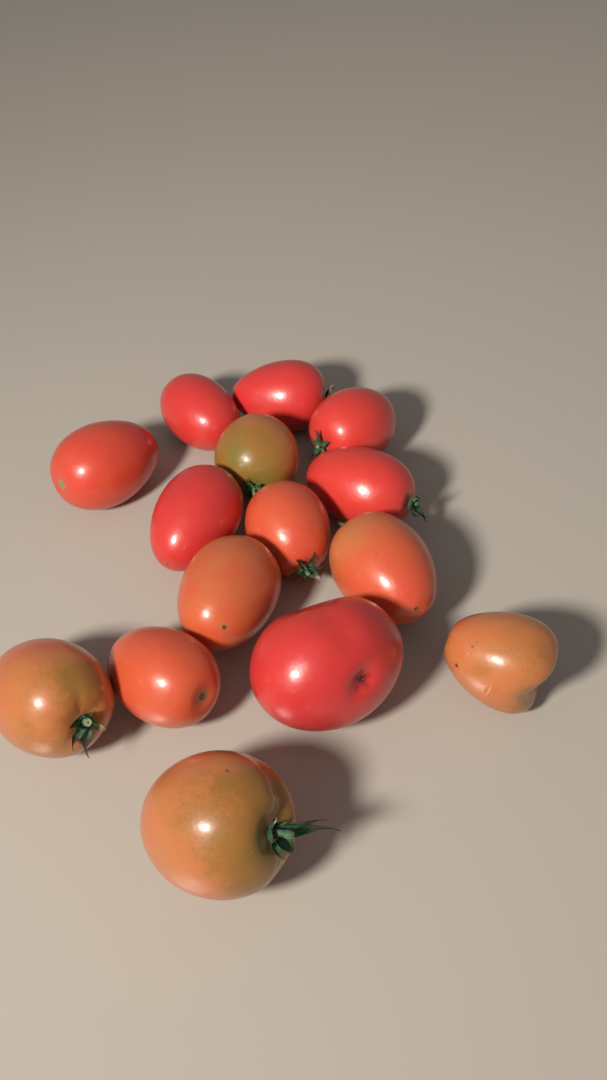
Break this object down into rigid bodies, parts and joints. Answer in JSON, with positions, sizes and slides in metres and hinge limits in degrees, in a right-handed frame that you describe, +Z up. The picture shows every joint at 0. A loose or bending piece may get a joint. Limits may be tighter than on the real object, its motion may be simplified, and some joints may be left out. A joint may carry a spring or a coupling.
{
  "type": "loose plum tomatoes",
  "caption": "Loose ripe plum tomatoes of mixed size lying on a level surface, some with green calyx and cut stalk, for display or as kitchen produce.",
  "frame": {"origin": "On the resting surface, under the middle of the whole group's bounding box.", "axes": "+Z up from the surface. +Y away from the viewer, along the group's longest side. +X to the viewer's right."},
  "size_m": [0.2654, 0.3462, 0.0594],
  "materials": {
    "red_skin": "smooth glossy ripe red tomato skin",
    "orange_red_skin": "smooth glossy orange-red tomato skin",
    "orange_skin": "smooth glossy orange tomato skin with greenish shoulders",
    "unripe_skin": "smooth glossy skin part way from olive green to orange",
    "calyx": "matt green leaf, drying dark at the tips",
    "stalk": "matt pale green stalk"
  },
  "bodies": {
    "root": {"tomato_01_fruit": "orange_red_skin", "tomato_02_fruit": "red_skin", "tomato_03_calyx": "calyx", "tomato_03_fruit": "red_skin", "tomato_03_stem": "stalk", "tomato_04_calyx": "calyx", "tomato_04_fruit": "red_skin", "tomato_04_stem": "stalk", "tomato_05_calyx": "calyx", "tomato_05_fruit": "unripe_skin", "tomato_05_stem": "stalk", "tomato_06_fruit": "red_skin", "tomato_07_calyx": "calyx", "tomato_07_fruit": "orange_red_skin", "tomato_07_stem": "stalk", "tomato_08_calyx": "calyx", "tomato_08_fruit": "red_skin", "tomato_08_stem": "stalk", "tomato_09_calyx": "calyx", "tomato_09_fruit": "orange_red_skin", "tomato_09_stem": "stalk", "tomato_10_fruit": "orange_skin", "tomato_11_fruit": "red_skin", "tomato_12_fruit": "orange_skin", "tomato_13_calyx": "calyx", "tomato_13_fruit": "orange_skin", "tomato_13_stem": "stalk", "tomato_14_fruit": "orange_red_skin", "tomato_15_calyx": "calyx", "tomato_15_fruit": "orange_skin", "tomato_15_stem": "stalk"}
  },
  "joints": []
}
